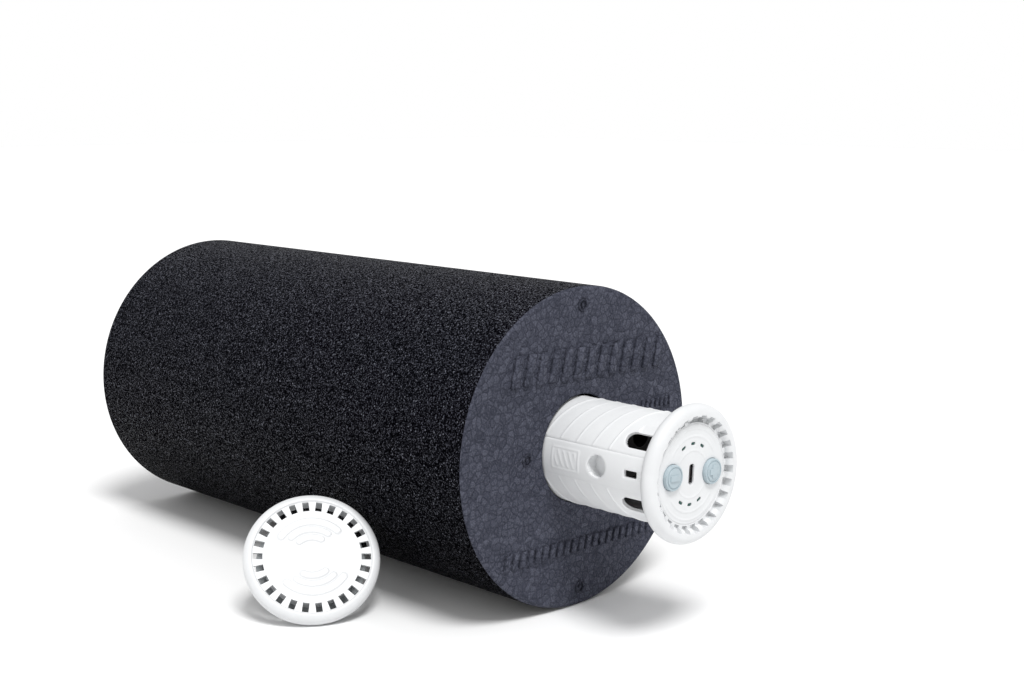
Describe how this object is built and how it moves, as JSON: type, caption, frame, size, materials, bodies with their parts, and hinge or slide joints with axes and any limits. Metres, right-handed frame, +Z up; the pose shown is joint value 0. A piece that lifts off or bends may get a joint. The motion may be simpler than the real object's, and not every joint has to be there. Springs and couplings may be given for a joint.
{
  "type": "foam roller",
  "caption": "Black foam massage roller on its side with a white vibrating core drawn partly out of its bore and a slotted end cap beside it.",
  "frame": {"origin": "the middle of the line along which the foam roller rests on the floor", "axes": "+X along the roller, from its far end to the end where the core sticks out; +Z up"},
  "size_m": [0.3672, 0.2001, 0.15],
  "materials": {
    "bead_foam": "matte closed-cell bead foam",
    "white_casing": "satin moulded plastic",
    "grey_key": "satin moulded plastic",
    "black_rubber": "matte",
    "grey_rubber": "matte",
    "dark_plastic": "matte",
    "screw_steel": "zinc plated",
    "brown_board": "phenolic board",
    "lamp_green": "dark tinted",
    "cell_wrap": "shrink wrap",
    "nickel_strip": "nickel",
    "can_aluminium": "satin",
    "motor_steel": "plated",
    "motor_iron": "dark",
    "bush_bronze": "sintered",
    "weight_iron": "machined"
  },
  "bodies": {
    "roller": {"foam_roller": "bead_foam"},
    "minus_key": {"minus_button": "grey_key", "minus_plunger": "dark_plastic"},
    "plus_key": {"plus_button": "grey_key", "plus_plunger": "dark_plastic"},
    "rotor": {"motor_shaft": "screw_steel", "motor_armature": "motor_iron", "eccentric_weight_front": "weight_iron", "eccentric_weight_rear": "weight_iron"},
    "end_cap": {"cap_cover": "white_casing", "cap_spigot": "white_casing", "cap_grip_ring": "grey_rubber"},
    "core": {"battery_cell_lower": "cell_wrap", "battery_cell_upper": "cell_wrap", "battery_tabs": "nickel_strip", "battery_tray": "dark_plastic", "board_screws": "screw_steel", "control_bezel": "white_casing", "control_board": "brown_board", "control_face": "white_casing", "core_end_plug": "white_casing", "core_shell_lower": "white_casing", "core_shell_upper": "white_casing", "drive_board": "brown_board", "drive_capacitors": "can_aluminium", "drive_chips": "dark_plastic", "light_guides": "lamp_green", "minus_switch": "dark_plastic", "motor_bushes": "bush_bronze", "motor_can": "motor_steel", "motor_cradle_front": "dark_plastic", "motor_cradle_rear": "dark_plastic", "motor_end_bell": "motor_steel", "motor_isolator_front": "black_rubber", "motor_isolator_rear": "black_rubber", "motor_magnets": "motor_iron", "plus_switch": "dark_plastic", "screw_plugs": "white_casing", "shell_frame_front": "dark_plastic", "shell_frame_mid": "dark_plastic", "shell_frame_rear": "dark_plastic", "shell_screws": "screw_steel", "status_leds": "lamp_green", "usb_socket_shell": "screw_steel", "usb_socket_tongue": "dark_plastic"}
  },
  "joints": [
    {"name": "core_slide", "type": "slide", "parent": "roller", "child": "core", "axis": [1, 0, 0], "range_m": [-0.06, 0.24]},
    {"name": "minus_press", "type": "slide", "parent": "core", "child": "minus_key", "axis": [-1, 0, 0], "range_m": [0, 0.0008], "stiffness_N_per_m": 1000},
    {"name": "plus_press", "type": "slide", "parent": "core", "child": "plus_key", "axis": [-1, 0, 0], "range_m": [0, 0.0008], "stiffness_N_per_m": 1000},
    {"name": "rotor_spin", "type": "hinge", "parent": "core", "child": "rotor", "pos_m": [0, 0, 0.07455], "axis": [1, 0, 0], "continuous": true},
    {"name": "cap_lift_off", "type": "slide", "parent": "roller", "child": "end_cap", "axis": [0, -1, 0], "range_m": [0, 0.15]}
  ]
}
